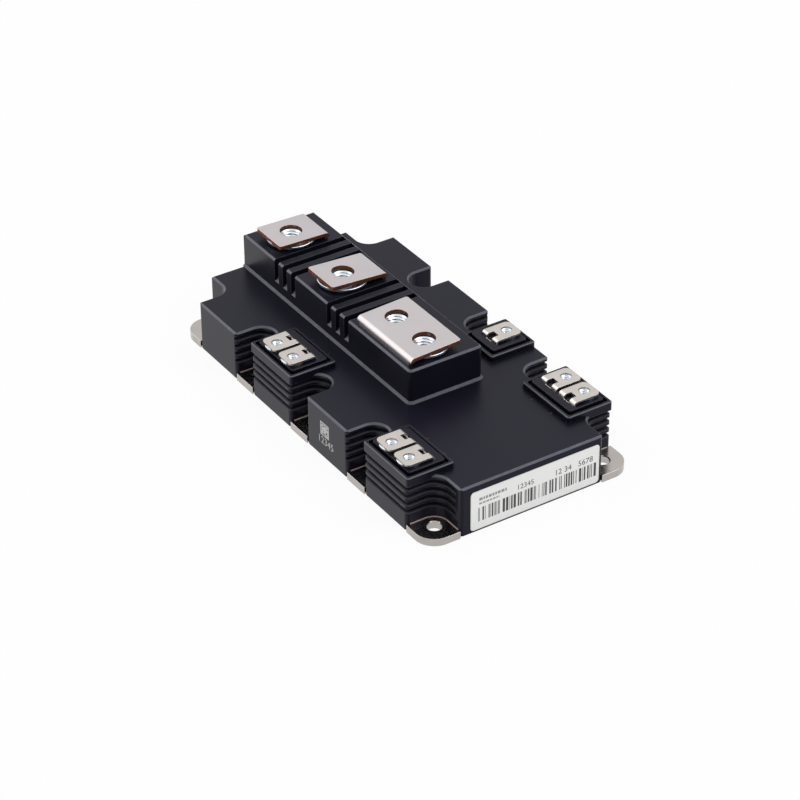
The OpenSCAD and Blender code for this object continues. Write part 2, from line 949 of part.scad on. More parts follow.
// Straps that carry each copper track over to the next tile
module link_straps() {
    span = tile_gap / 2 + tile_edge;
    foot = span + 2.5;
    top = chip_z + strap_t + strap_rise;
    color("#c98a5b")
        for (i = [0:tile_n - 2], y = strap_y)
            translate([(tile_x[i] + tile_x[i + 1]) / 2, y + strap_w / 2, 0])
                rotate([90, 0, 0])
                    linear_extrude(strap_w)
                        polygon([
                            [-foot, chip_z], [-span, chip_z], [-span, top - strap_t], [span, top - strap_t],
                            [span, chip_z], [foot, chip_z], [foot, chip_z + strap_t],
                            [span + strap_t, chip_z + strap_t], [span + strap_t, top], [-span - strap_t, top],
                            [-span - strap_t, chip_z + strap_t], [-foot, chip_z + strap_t]
                        ]);
}

// Soft gel that fills the bottom of the housing, round everything that stands in it
module silicone_gel() {
    color("#dfe6ea")
        difference() {
            translate([0, 0, plate_t])
                linear_extrude(gel_h)
                    cavity_outline();
            for (x = tile_x) {
                box(x - tile_l / 2, x + tile_l / 2, -tile_w / 2, tile_w / 2, 0, chip_z);
                gel_pocket(x, igbt_y, igbt_side);
                gel_pocket(x, diode_y, diode_side);
            }
            box(tile_x[3] - 1.6, tile_x[3] + 1.6, 0.7, 2.3, 0, chip_z + 1.2);
            strap_pockets();
            leg_pockets();
        }
}

module gel_pocket(x, y, side) {
    half = chip_x + side / 2;
    box(x - half, x + half, y - side / 2, y + side / 2, 0, chip_z + chip_t);
    box(x - 2 * ribbon_r, x + 2 * ribbon_r, y - side / 2, y + side / 2, 0, chip_z + chip_t + ribbon_r);
}

module strap_pockets() {
    span = tile_gap / 2 + tile_edge;
    foot = span + 2.5;
    for (i = [0:tile_n - 2], y = strap_y)
        translate([(tile_x[i] + tile_x[i + 1]) / 2, 0, 0]) {
            box(-foot, foot, y - strap_w / 2, y + strap_w / 2, chip_z - eps, chip_z + strap_t);
            box(-span - strap_t, span + strap_t, y - strap_w / 2, y + strap_w / 2, chip_z - eps,
                chip_z + strap_t + strap_rise);
        }
}

module leg_pockets() {
    for (i = [0, 1])
        translate([rear + dc_x[i], dc_leg_y[i], 0])
            rotate([0, 0, -90])
                power_leg_pocket(term_w, i);
    translate([ac_mid, -ac_leg_y, 0])
        rotate([0, 0, 90])
            power_leg_pocket(ac_w, ac_mid - tile_x[2]);
    for (t = tabs)
        translate([t[0], t[1] * tab_leg_y, 0])
            rotate([0, 0, t[1] * 90]) {
                box(0, tab_t, -tab_pin_w / 2, tab_pin_w / 2, chip_z, far);
                box(tab_foot_y - tab_leg_y, tab_t, -tab_pin_w / 2, tab_pin_w / 2, chip_z - eps, chip_z + tab_t);
            }
}

module power_leg_pocket(width, foot_v) {
    half = width / 2 - term_shoulder;
    box(0, term_t, -half, half, leg_open_z, far);
    box(0, term_t, foot_v - foot_w / 2, foot_v + foot_w / 2, chip_z - eps, far);
    box(0, foot_len, foot_v - foot_w / 2, foot_v + foot_w / 2, chip_z - eps, chip_z + term_t);
}

base_plate();
sealant();
housing();
dc_minus_terminal();
dc_plus_terminal();
output_terminal();
m8_nuts();
aux_terminal_1();
aux_terminal_2();
aux_terminal_3();
aux_terminal_4();
aux_terminal_5();
aux_terminal_6();
aux_terminal_7();
m4_nuts();
label();
ceramic_tile_1();
ceramic_tile_2();
ceramic_tile_3();
ceramic_tile_4();
tile_copper_1();
tile_copper_2();
tile_copper_3();
tile_copper_4();
igbt_chips();
diode_chips();
thermistor();
bond_ribbons();
link_straps();
silicone_gel();
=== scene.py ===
import json
import math
import random

import bpy
import bmesh
from mathutils import Matrix, Vector


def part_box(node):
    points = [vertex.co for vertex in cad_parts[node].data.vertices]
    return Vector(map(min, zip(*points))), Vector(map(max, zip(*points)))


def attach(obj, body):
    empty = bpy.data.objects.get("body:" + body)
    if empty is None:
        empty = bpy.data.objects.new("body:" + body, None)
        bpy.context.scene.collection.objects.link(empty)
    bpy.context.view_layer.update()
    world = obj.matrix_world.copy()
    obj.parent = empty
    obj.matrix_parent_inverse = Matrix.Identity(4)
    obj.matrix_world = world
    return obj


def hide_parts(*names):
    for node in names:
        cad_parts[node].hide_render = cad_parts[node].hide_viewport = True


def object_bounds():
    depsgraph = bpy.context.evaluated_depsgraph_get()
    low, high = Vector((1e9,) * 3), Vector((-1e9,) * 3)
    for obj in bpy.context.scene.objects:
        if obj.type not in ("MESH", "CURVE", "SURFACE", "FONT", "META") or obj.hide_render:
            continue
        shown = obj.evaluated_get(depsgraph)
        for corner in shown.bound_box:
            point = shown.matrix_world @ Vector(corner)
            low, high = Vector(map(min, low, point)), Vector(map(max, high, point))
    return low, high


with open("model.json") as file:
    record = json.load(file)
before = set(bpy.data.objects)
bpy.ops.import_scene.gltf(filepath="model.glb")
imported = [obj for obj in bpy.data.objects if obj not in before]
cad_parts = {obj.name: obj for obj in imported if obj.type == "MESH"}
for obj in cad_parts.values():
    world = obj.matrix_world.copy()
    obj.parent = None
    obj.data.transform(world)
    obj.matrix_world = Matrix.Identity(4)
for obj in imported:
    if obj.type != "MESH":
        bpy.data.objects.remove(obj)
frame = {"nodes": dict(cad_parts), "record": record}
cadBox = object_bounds()
nodes = frame["nodes"]
mm = 0.001
print("frame loaded:", len(nodes), "nodes")


# ---- shader helpers ----

class Link:
    # one output socket, or a plain number, that takes part in sums

    def __init__(self, tree, source):
        self.tree = tree
        self.source = source

    def maths(self, operation, *others, clamp=False):
        node = self.tree.nodes.new("ShaderNodeMath")
        node.operation = operation
        node.use_clamp = clamp
        for slot, value in zip(node.inputs, (self, *others)):
            plug(self.tree, slot, value)
        return Link(self.tree, node.outputs[0])

    def __add__(self, other):
        return self.maths("ADD", other)

    __radd__ = __add__

    def __mul__(self, other):
        return self.maths("MULTIPLY", other)

    __rmul__ = __mul__

    def __sub__(self, other):
        return self.maths("SUBTRACT", other)

    def __rsub__(self, other):
        return Link(self.tree, other).maths("SUBTRACT", self)

    def __pow__(self, other):
        return self.maths("POWER", other)

    def __lt__(self, other):
        return self.maths("LESS_THAN", other)

    def __gt__(self, other):
        return self.maths("GREATER_THAN", other)

    def __abs__(self):
        return self.maths("ABSOLUTE")

    def most(self, other):
        return self.maths("MAXIMUM", other)

    def least(self, other):
        return self.maths("MINIMUM", other)

    def clamp(self):
        return self.maths("ADD", 0.0, clamp=True)


def plug(tree, slot, value):
    # gives an input socket a link or a plain value
    if isinstance(value, Link):
        value = value.source
    if isinstance(value, bpy.types.NodeSocket):
        tree.links.new(value, slot)
    elif isinstance(value, (tuple, list)) and slot.type == "RGBA" and len(value) == 3:
        slot.default_value = (*value, 1.0)
    else:
        slot.default_value = value


class Finish:
    # one material under construction

    def __init__(self, name):
        self.material = bpy.data.materials.new(name)
        self.material.use_nodes = True
        self.tree = self.material.node_tree
        self.tree.nodes.clear()
        self.output = self.tree.nodes.new("ShaderNodeOutputMaterial")

    def add(self, kind, settings=None, out=0, **values):
        node = self.tree.nodes.new("ShaderNode" + kind)
        for key, value in (settings or {}).items():
            setattr(node, key, value)
        for key, value in values.items():
            if key.startswith("in") and key[2:].isdigit():
                slot = node.inputs[int(key[2:])]
            else:
                slot = node.inputs[key.replace("_", " ")]
            plug(self.tree, slot, value)
        return Link(self.tree, node.outputs[out])

    def place(self):
        return self.add("TexCoord", out=3)

    def axes(self, vector=None):
        node = self.tree.nodes.new("ShaderNodeSeparateXYZ")
        plug(self.tree, node.inputs[0], vector or self.place())
        return [Link(self.tree, node.outputs[i]) for i in range(3)]

    def flat(self):
        return self.add("NewGeometry", out=3)

    def noise(self, scale, detail=4.0, rough=0.5, vector=None):
        vector = vector or self.place()
        return self.add("TexNoise", Vector=vector, Scale=scale, Detail=detail, Roughness=rough)

    def stretched(self, x, y, z):
        return self.add("Mapping", Vector=self.place(), Scale=(x, y, z))

    def between(self, low, high, value):
        return self.add("MapRange", Value=value, From_Min=low, From_Max=high)

    def curve(self, value, stops):
        # a ramp of grey through (position, level) pairs
        made = self.add("ValToRGB", Fac=value)
        ramp = made.source.node.color_ramp
        while len(ramp.elements) < len(stops):
            ramp.elements.new(0.5)
        for element, (position, level) in zip(ramp.elements, stops):
            element.position = position
            element.color = (level, level, level, 1.0)
        return made

    def mix(self, factor, first, second):
        return self.add("Mix", {"data_type": "RGBA"}, out=2, in0=factor, in6=first, in7=second)

    def bump(self, height, strength, distance, normal=None):
        more = {"Normal": normal} if normal else {}
        return self.add("Bump", Height=height, Strength=strength, Distance=distance, **more)

    def rounded(self, radius):
        # the surface's direction with its edges softened, and how close an edge is
        soft = self.add("Bevel", {"samples": 4}, Radius=radius)
        turn = self.add("VectorMath", {"operation": "DOT_PRODUCT"}, out=1, in0=soft, in1=self.flat())
        return soft, 1.0 - turn

    def openness(self, reach):
        # 1 on an open face, less inside a groove or a corner
        settings = {"samples": 6, "only_local": True}
        return self.add("AmbientOcclusion", settings, out=1, Distance=reach)

    def surface(self, under=None, share=None, **values):
        # ends the material; under is a second shader that shows where share is low
        shader = self.add("BsdfPrincipled", **values)
        if under:
            shader = self.add("MixShader", in0=share, in1=under, in2=shader)
        self.tree.links.new(shader.source, self.output.inputs["Surface"])
        return self.material


def shaded(colour, by):
    return tuple(min(1.0, by * c) for c in colour)


# ---- camera, light and floor ----

view = {
    "azimuth": 57.13,
    "elevation": 33.70,
    "roll": -0.46,
    "distance": 1143.3 * mm,
    "target": (0.24 * mm, -0.17 * mm, -0.44 * mm),
    "lens": 137.14,
    "sensor": 36.0,
    "nearest": 10.0 * mm,
}


def makeCamera():
    a = math.radians(view["azimuth"])
    e = math.radians(view["elevation"])
    back = Vector((math.sin(a) * math.cos(e), -math.cos(a) * math.cos(e), math.sin(e)))
    data = bpy.data.cameras.new("camera")
    data.lens = view["lens"]
    data.sensor_width = view["sensor"]
    data.clip_start = view["nearest"]
    camera = bpy.data.objects.new("camera", data)
    roll = Matrix.Rotation(math.radians(view["roll"]), 3, "Z")
    camera.rotation_euler = (back.to_track_quat("Z", "Y").to_matrix() @ roll).to_euler()
    camera.location = Vector(view["target"]) + back * view["distance"]
    bpy.context.scene.collection.objects.link(camera)
    bpy.context.scene.camera = camera


lamps = {
    # name: (where it stands, how wide, watts)
    "leftSoft": ((-1.0, -0.82, 0.68), 1.8, 10.2),
    "rightSoft": ((0.82, 0.68, 1.0), 1.0, 7.0),
    "topSoft": ((-0.1, 0.1, 1.5), 1.9, 6.7),
}


def makeLamps():
    for name, (where, width, watts) in lamps.items():
        data = bpy.data.lights.new(name, "AREA")
        data.size = width
        data.energy = watts
        lamp = bpy.data.objects.new(name, data)
        lamp.location = where
        lamp.rotation_euler = Vector(where).to_track_quat("Z", "Y").to_euler()
        bpy.context.scene.collection.objects.link(lamp)


surround = {"seen": 1.0, "lit": 0.5}


def seenRay(tree):
    path = tree.nodes.new("ShaderNodeLightPath")
    kinds = ("Camera", "Glossy", "Transmission")
    direct, mirrored, through = [Link(tree, path.outputs["Is " + kind + " Ray"]) for kind in kinds]
    return direct.most(mirrored).most(through)


def makeWorld():
    world = bpy.data.worlds.new("surround")
    bpy.context.scene.world = world
    world.use_nodes = True
    tree = world.node_tree
    tree.nodes.clear()
    strength = surround["lit"] + seenRay(tree) * (surround["seen"] - surround["lit"])
    background = tree.nodes.new("ShaderNodeBackground")
    background.inputs["Color"].default_value = (1, 1, 1, 1)
    plug(tree, background.inputs["Strength"], strength)
    output = tree.nodes.new("ShaderNodeOutputWorld")
    tree.links.new(background.outputs[0], output.inputs[0])


floorPlan = {"side": 6.0, "shade": 0.86, "glow": 0.93, "drop": 0.1 * mm}


def makeFloor():
    half = floorPlan["side"] / 2
    mesh = bpy.data.meshes.new("floor")
    corners = [(-half, -half, 0), (half, -half, 0), (half, half, 0), (-half, half, 0)]
    mesh.from_pydata(corners, [], [(0, 1, 2, 3)])
    floor = bpy.data.objects.new("floor", mesh)
    floor.location.z = cadBox[0][2] - floorPlan["drop"]
    bpy.context.scene.collection.objects.link(floor)
    paint = Finish("floorPaint")
    matt = paint.add("BsdfDiffuse", Color=(floorPlan["shade"],) * 3)
    glow = paint.add("Emission", Color=(1, 1, 1), Strength=1.0)
    blend = paint.add("MixShader", in0=seenRay(paint.tree) * floorPlan["glow"], in1=matt, in2=glow)
    paint.tree.links.new(blend.source, paint.output.inputs["Surface"])
    mesh.materials.append(paint.material)


bpy.context.scene.view_settings.view_transform = "Standard"
makeCamera()
makeLamps()
makeWorld()
makeFloor()
print("camera, lamps and floor placed")


# ---- moulded housing ----

plasticLook = {
    "colour": (0.0064, 0.0060, 0.0120),
    # painted highlight colour for the rounded edges, also the colour of the dust specks
    "edgeHighlightAndDustColour": (0.165, 0.166, 0.195),
    "rough": 0.34,
    "gloss": 0.15,
    "glossTint": (0.76, 0.76, 1.0),
    "sideGloss": 0.23,
    "sideRough": 0.3,
    "hollow": (0.54, 0.87),   # openness at which a groove gets full painted shade, and at which it gets none
    "hollowReach": 1.8 * mm,
    # near-black colour painted into grooves and corners as shade
    "hollowColour": (0.0022, 0.0022, 0.0032),
    "edgeRadius": 0.28 * mm,
    "edgeGain": 5.0,
    # painted highlight by how far a face points up: the rounded edges, and no flat face
    "highlightBySlope": (
        (0.0, 0.0), (0.45, 0.0), (0.6, 1.0), (0.8, 1.0), (0.88, 0.35), (0.93, 0.3), (0.97, 0.0),
    ),
    "grain": 4200.0,
    "grainDepth": 0.012 * mm,
    "blotch": 38.0,
    "flow": 22.0,
    # patches in which the painted edge highlight is stronger or weaker
    "highlightPatches": 420.0,
    "dust": (950.0, 140.0),   # specks, and the patches in which they lie
    "dustShare": 0.12,
}


def mouldedPlastic(name="mouldedPlastic", lift=1.0):
    look = plasticLook
    f = Finish(name)
    grain = f.noise(look["grain"], 2.0, 0.6)
    blotch = f.noise(look["blotch"], 3.0)
    flow = f.noise(look["flow"], 3.0, 0.55, vector=f.stretched(0.5, 1.6, 2.2))
    soft, turn = f.rounded(look["edgeRadius"])
    sideways, across, upward = f.axes(f.flat())
    slope = f.curve(upward, look["highlightBySlope"])
    highlightPatches = f.noise(look["highlightPatches"], 3.0, 0.6)
    # painted highlight: rounded edges and up-facing slopes lightened, in patches
    edge = (slope * 0.9).most(turn * look["edgeGain"]).clamp() * (0.55 + highlightPatches * 0.6)
    base = f.mix(blotch, shaded(look["colour"], 0.8 * lift), shaded(look["colour"], 1.25 * lift))
    specks, patches = look["dust"]
    dust = (f.noise(specks, 4.0, 0.7) > 0.68) * (f.noise(patches, 2.0) > 0.55) * look["dustShare"]
    # the painted edge highlight and the real dust specks share one lighter colour
    colour = f.mix((edge * 0.85).most(dust).clamp(), base, shaded(look["edgeHighlightAndDustColour"], lift))
    rough = look["rough"] + (flow - 0.5) * 0.16 - edge * 0.1 + (grain - 0.5) * 0.06
    polished = (abs(across) > 0.7) * (flow + 0.4).clamp() * look["sideGloss"]
    black = look["hollowColour"]
    # painted shade: a near-black shader mixed in where grooves and corners are enclosed
    shadow = f.add("BsdfPrincipled", Base_Color=black, Roughness=0.8, Specular_IOR_Level=0.05)
    return f.surface(
        under=shadow,
        share=f.between(*look["hollow"], f.openness(look["hollowReach"])),
        Base_Color=colour,
        Roughness=rough,
        Specular_IOR_Level=look["gloss"],
        Specular_Tint=(*look["glossTint"], 1.0),
        Coat_Weight=polished,
        Coat_Roughness=look["sideRough"],
        Normal=f.bump(grain, 0.35, look["grainDepth"], soft),
    )


# ---- plated base ----

baseLook = {
    "colour": (0.45, 0.42, 0.40),
    "stain": (0.30, 0.27, 0.25),
    # painted highlight colour for the edges
    "brightEdge": (0.74, 0.68, 0.64),
    "edgeRadius": 0.25 * mm,
    "rough": 0.16,
    "cloudScale": 70.0,
    "fineScale": 1800.0,
    "scratchScale": 260.0,
    "stainScale": 34.0,
}


def platedBase():
    look = baseLook
    f = Finish("platedBase")
    cloud = f.noise(look["cloudScale"], 5.0, 0.6)
    fine = f.noise(look["fineScale"], 3.0)
    along = f.noise(look["scratchScale"], 3.0, 0.6, vector=f.stretched(0.06, 3.0, 1.0))
    across = f.noise(look["scratchScale"], 3.0, 0.6, vector=f.stretched(3.0, 0.09, 1.0))
    scratch = (along > 0.64).most(across > 0.67)
    soft, turn = f.rounded(look["edgeRadius"])
    stained = f.between(0.5, 0.8, f.noise(look["stainScale"], 4.0, 0.65)) * 0.6
    colour = f.mix(cloud, shaded(look["colour"], 0.88), shaded(look["colour"], 1.12))
    colour = f.mix(stained, colour, look["stain"])
    # painted highlight: the edges lightened
    colour = f.mix((turn * 6.0).clamp() * 0.6, colour, look["brightEdge"])
    rough = look["rough"] + cloud * 0.08 + scratch * 0.14
    height = fine * 0.4 + cloud + scratch * -0.3
    normal = f.bump(height, 0.05, 0.02 * mm, soft)
    return f.surface(Base_Color=colour, Metallic=1.0, Roughness=rough, Normal=normal)


# ---- sealant bead ----

sealantLook = {
    "dull": (0.50, 0.36, 0.33),
    "pale": (0.68, 0.54, 0.50),
    "lumps": 520.0,
    "lumpDepth": 0.05 * mm,
}


def curedSealant():
    look = sealantLook
    f = Finish("curedSealant")
    lumps = f.noise(look["lumps"], 4.0, 0.6)
    tint = f.noise(110.0, 3.0)
    normal = f.bump(lumps, 0.5, look["lumpDepth"])
    colour = f.mix(tint, look["dull"], look["pale"])
    return f.surface(Base_Color=colour, Roughness=0.42 + lumps * 0.2, Normal=normal)


# ---- power terminals: nickel skin, bare copper where the strip was cut ----

terminalLook = {
    "skin": (0.52, 0.487, 0.495),
    "copper": (0.19, 0.072, 0.04),
    "rough": 0.29,
    "edgeRadius": 0.22 * mm,
    "thick": 1.5 * mm,
    "bend": 1.8 * mm,
    "cutEnd": 1.2 * mm,        # how deep from the free end an upright face counts as cut
    "holeReach": 4.75 * mm,    # how far from a screw's axis its hole's wall lies
    "ragged": 0.36,
}


# where each screw enters, and its bore's radius in millimetres
screws = []
for row in frame["record"]["mounts"]:
    if row["kind"] == "threaded_hole":
        screws.append((row["pos_m"], row["dims"]["r_mm"]))


def holesOn(name):
    low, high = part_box(name)
    return [p for p, radius in screws if low[0] < p[0] < high[0] and low[1] < p[1] < high[1]]


def cutStrip(name, freeEnd):
    # freeEnd is -1 or 1: which end of the strip in y was cut
    look = terminalLook
    low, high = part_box(name)
    f = Finish(name + "Finish")
    x, y, z = f.axes()
    sideways, across, upward = f.axes(f.flat())
    upright = abs(upward) < 0.4
    onSide = abs(sideways) > 0.6
    inPlate = z > high[2] - look["thick"] - 0.05 * mm
    if freeEnd < 0:
        atEnd = y < low[1] + look["cutEnd"]
        clearOfBend = y < high[1] - look["bend"]
    else:
        atEnd = y > high[1] - look["cutEnd"]
        clearOfBend = y > low[1] + look["bend"]
    cut = onSide.most(atEnd).most(clearOfBend * 0.9) * upright
    cut = cut.least(inPlate.most(onSide))
    for spot in holesOn(name):
        away = ((x - spot[0]) ** 2.0 + (y - spot[1]) ** 2.0) ** 0.5
        cut = cut.most((away < look["holeReach"]) * upright)
    ragged = f.noise(700.0, 4.0, 0.65)
    cut = cut * (ragged > look["ragged"])
    soft, turn = f.rounded(look["edgeRadius"])
    rolled = f.noise(340.0, 5.0, 0.6, vector=f.stretched(6.0, 0.12, 1.0))
    cloud = f.noise(85.0, 4.0)
    nick = (f.noise(210.0, 3.0, 0.6, vector=f.stretched(0.15, 4.0, 1.0)) > 0.69) * 0.6
    skin = f.mix(cloud, shaded(look["skin"], 0.93), shaded(look["skin"], 1.07))
    # painted highlight: the nickel skin lightened along the edges
    skin = f.mix((turn * 5.0).clamp() * 0.5, skin, shaded(look["skin"], 1.35))
    bare = f.mix(ragged, shaded(look["copper"], 0.55), shaded(look["copper"], 1.5))
    rough = look["rough"] + rolled * 0.12 + cut * 0.18 + nick * 0.15
    height = rolled + ragged * cut * 0.6 - nick
    return f.surface(
        Base_Color=f.mix(cut, skin, bare),
        Metallic=1.0,
        Roughness=rough,
        Normal=f.bump(height, 0.12, 0.02 * mm, soft),
    )


# ---- auxiliary tabs ----

tabLook = {
    "skin": (0.575, 0.535, 0.505),
    "bare": (0.42, 0.31, 0.22),
    "rough": 0.22,
    "edgeRadius": 0.12 * mm,
}


def tabMetal():
    look = tabLook
    f = Finish("tabMetal")
    cloud = f.noise(240.0, 4.0)
    fine = f.noise(2600.0, 3.0, 0.6)
    rolled = f.noise(600.0, 4.0, 0.6, vector=f.stretched(5.0, 0.2, 1.0))
    soft, turn = f.rounded(look["edgeRadius"])
    skin = f.mix(cloud, shaded(look["skin"], 0.9), shaded(look["skin"], 1.1))
    # painted highlight: the tab's skin lightened along the edges
    skin = f.mix((turn * 5.0).clamp() * 0.3, skin, shaded(look["skin"], 1.4))
    speck = (f.noise(900.0, 3.0, 0.7) > 0.7) * 0.5
    return f.surface(
        Base_Color=f.mix(speck, skin, look["bare"]),
        Metallic=1.0,
        Roughness=look["rough"] + rolled * 0.14 + (fine - 0.5) * 0.06,
        Normal=f.bump(rolled + fine * 0.5, 0.12, 0.015 * mm, soft),
    )


zincLook = {"dull": (0.52, 0.57, 0.62), "bright": (0.68, 0.72, 0.76), "rough": 0.24, "spangle": 900.0}


def zincSteel():
    look = zincLook
    f = Finish("zincSteel")
    spangle = f.add("TexVoronoi", Vector=f.place(), Scale=look["spangle"])
    cloud = f.noise(300.0, 4.0)
    return f.surface(
        Base_Color=f.mix(cloud, look["dull"], look["bright"]),
        Metallic=1.0,
        Roughness=look["rough"] + cloud * 0.12,
        Normal=f.bump(spangle, 0.02, 0.004 * mm),
    )


# ---- label, marks and inner parts ----

labelLook = {
    "film": (0.89, 0.89, 0.88),
    "rim": (0.62, 0.62, 0.61),
    "rimWidth": (0.35 * mm, 0.3 * mm),
    "ink": (0.045, 0.045, 0.05),
    "faded": (0.30, 0.30, 0.31),
}


def labelFilm():
    look = labelLook
    f = Finish("labelFilm")
    fibre = f.noise(1400.0, 4.0, 0.6)
    cloud = f.noise(60.0, 3.0)
    film = f.mix(cloud, shaded(look["film"], 0.97), shaded(look["film"], 1.02))
    low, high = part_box("label")
    x, y, z = f.axes()
    atSide = abs(y - (low[1] + high[1]) / 2) > (high[1] - low[1]) / 2 - look["rimWidth"][0]
    atFoot = abs(z - (low[2] + high[2]) / 2) > (high[2] - low[2]) / 2 - look["rimWidth"][1]
    return f.surface(
        Base_Color=f.mix(atSide.most(atFoot) * 0.5, film, look["rim"]),
        Roughness=0.45 + fibre * 0.12,
        Normal=f.bump(fibre, 0.12, 0.01 * mm),
    )


def printInk(name, shade, rough=0.5):
    f = Finish(name)
    worn = f.noise(2200.0, 4.0, 0.65)
    colour = f.mix(worn, shaded(shade, 0.7), shaded(shade, 1.35))
    normal = f.bump(worn, 0.1, 0.004 * mm)
    return f.surface(Base_Color=colour, Roughness=rough + worn * 0.1, Normal=normal)


def plain(name, colour, rough, metallic=0.0, scale=150.0):
    f = Finish(name)
    blotch = f.noise(scale, 4.0)
    fine = f.noise(scale * 14.0, 3.0, 0.6)
    shade = f.mix(blotch, shaded(colour, 0.88), shaded(colour, 1.08))
    return f.surface(
        Base_Color=shade,
        Metallic=metallic,
        Roughness=rough + (fine - 0.5) * 0.12,
        Normal=f.bump(fine, 0.2, 0.01 * mm),
    )


chipLook = {
    "dark": (0.13, 0.15, 0.20),
    "light": (0.22, 0.22, 0.26),
    "track": (0.55, 0.54, 0.52),
    "rowsPerMetre": 2400.0,
}


def chipSilicon():
    # rows of cells on a polished face
    look = chipLook
    f = Finish("chipSilicon")
    x, y, z = f.axes()
    rows = ((y * look["rowsPerMetre"]).maths("FRACT") > 0.8) * 0.5
    cloud = f.noise(130.0, 3.0)
    face = f.mix(cloud, look["dark"], look["light"])
    colour = f.mix(rows, face, look["track"])
    return f.surface(Base_Color=colour, Metallic=0.5, Roughness=0.12 + rows * 0.3)


gelLook = {"deep": (0.66, 0.71, 0.74), "pale": (0.80, 0.84, 0.86), "rough": 0.08}


def clearGel():
    look = gelLook
    f = Finish("clearGel")
    ripple = f.noise(45.0, 2.0)
    colour = f.mix(ripple, look["deep"], look["pale"])
    normal = f.bump(ripple, 0.2, 0.4 * mm)
    return f.surface(Base_Color=colour, Roughness=look["rough"] + ripple * 0.06, Normal=normal)


finishes = {
    "nickel_plate": platedBase(),
    "sealant": curedSealant(),
    "housing": mouldedPlastic(),
    "aux_terminal": tabMetal(),
    "zinc": zincSteel(),
    "label": labelFilm(),
    "ceramic": plain("tileCeramic", (0.83, 0.82, 0.77), 0.6),
    "copper": plain("bareCopper", (0.72, 0.40, 0.25), 0.3, 1.0),
    "silicon": chipSilicon(),
    "component": plain("blackResin", (0.04, 0.045, 0.05), 0.3, scale=400.0),
    "aluminium": plain("ribbonAluminium", (0.80, 0.81, 0.82), 0.28, 1.0, scale=500.0),
    "gel": clearGel(),
}
cutEnds = {"dc_minus_terminal": -1, "dc_plus_terminal": -1, "output_terminal": 1}

slotOf = {row["node"]: row["material_slot"] for row in frame["record"]["subparts"]}
for name, thing in nodes.items():
    finish = cutStrip(name, cutEnds[name]) if name in cutEnds else finishes[slotOf[name]]
    thing.data.materials.clear()
    thing.data.materials.append(finish)
print("materials assigned")


# ---- pieces ----

softBelow = math.radians(32)   # edges that turn less than this are shaded smooth


def makePiece(name, shape, material, smooth=False):
    mesh = bpy.data.meshes.new(name)
    shape.to_mesh(mesh)
    shape.free()
    mesh.materials.append(material)
    piece = bpy.data.objects.new(name, mesh)
    bpy.context.scene.collection.objects.link(piece)
    if smooth:
        mesh.shade_smooth()
        mesh.set_sharp_from_angle(angle=softBelow)
    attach(piece, "root")
    return piece


nutLook = {
    # all in millimetres; crowded is the washer face's radius where two nuts stand close
    "m8": {
        "flats": 13.0, "flange": 9.8, "crowded": 9.15, "collar": 1.0,
        "minor": 3.4, "major": 4.0, "pitch": 1.25, "lead": 4.25,
    },
    "m4": {
        "flats": 7.0, "flange": 4.5, "crowded": 4.5, "collar": 0.8,
        "minor": 1.65, "major": 2.0, "pitch": 0.7, "lead": 2.1,
    },
    "round": 96,       # points round the axis
    "steps": 8,        # rows in one turn of the thread
    "crown": 1.075,    # radius over half flats to which the corners are turned down
    "foot": 0.25,      # how much the lower rim is drawn in
    "footHeight": 0.5,
    "chamfer": 0.15,   # of the washer face
    "lip": 0.12,       # under the washer face
}


def threadWall(size, height):
    # the bore's wall: rows from the bottom to the top, each following the helix
    around = nutLook["round"]
    rise = size["pitch"] / nutLook["steps"]
    depth = size["major"] - size["minor"]
    rows = []
    level = 0.0
    while level <= height + 1e-6:
        ring = []
        for j in range(around):
            turn = (level / size["pitch"] - j / around) % 1.0
            tooth = min(1.0, max(0.0, abs(turn - 0.5) * 2.4 - 0.15))
            radius = size["minor"] + depth * (1.0 - tooth)
            # a countersink at both mouths of the bore
            lead = size["minor"] + max(0.0, size["lead"] - size["minor"] - (height - level))
            foot = size["minor"] + max(0.0, size["lead"] - size["minor"] - level)
            radius = max(radius, lead, foot)
            angle = 2 * math.pi * j / around
            ring.append(Vector((radius * math.cos(angle), radius * math.sin(angle), level)))
        rows.append(ring)
        level += rise if level + rise < height or abs(level - height) < 1e-6 else height - level
    return rows


def hexReach(angle, flats):
    # how far a hexagon's side is from its middle in this direction
    part = (angle + math.pi / 6) % (math.pi / 3) - math.pi / 6
    return flats / 2 / math.cos(part)


def levelRing(level, reachAt):
    # points round the axis at one height, as far out as reachAt says
    ring = []
    for j in range(nutLook["round"]):
        angle = 2 * math.pi * j / nutLook["round"]
        reach = reachAt(angle)
        ring.append(Vector((reach * math.cos(angle), reach * math.sin(angle), level)))
    return ring


def addNut(shape, size, flange, spot, foot, top):
    # a hexagon with a washer face and a threaded bore
    look = nutLook
    height = (top - foot) / mm
    collar = height - size["collar"]
    crown = size["flats"] / 2 * look["crown"]

    def hexagon(angle):
        return min(hexReach(angle, size["flats"]), crown)

    loop = threadWall(size, height) + [
        levelRing(height, lambda angle: flange - look["chamfer"]),
        levelRing(height - look["chamfer"], lambda angle: flange),
        levelRing(collar + look["lip"], lambda angle: flange),
        levelRing(collar, lambda angle: flange - look["lip"]),
        levelRing(collar - 0.01, hexagon),
        levelRing(look["footHeight"], hexagon),
        levelRing(0.0, lambda angle: crown - look["foot"]),
    ]
    made = []
    for ring in loop:
        made.append([shape.verts.new(Vector((spot[0], spot[1], foot)) + v * mm) for v in ring])
    for k in range(len(made)):
        first = made[k]
        second = made[(k + 1) % len(made)]
        for j in range(look["round"]):
            n = (j + 1) % look["round"]
            shape.faces.new((first[j], second[j], second[n], first[n]))


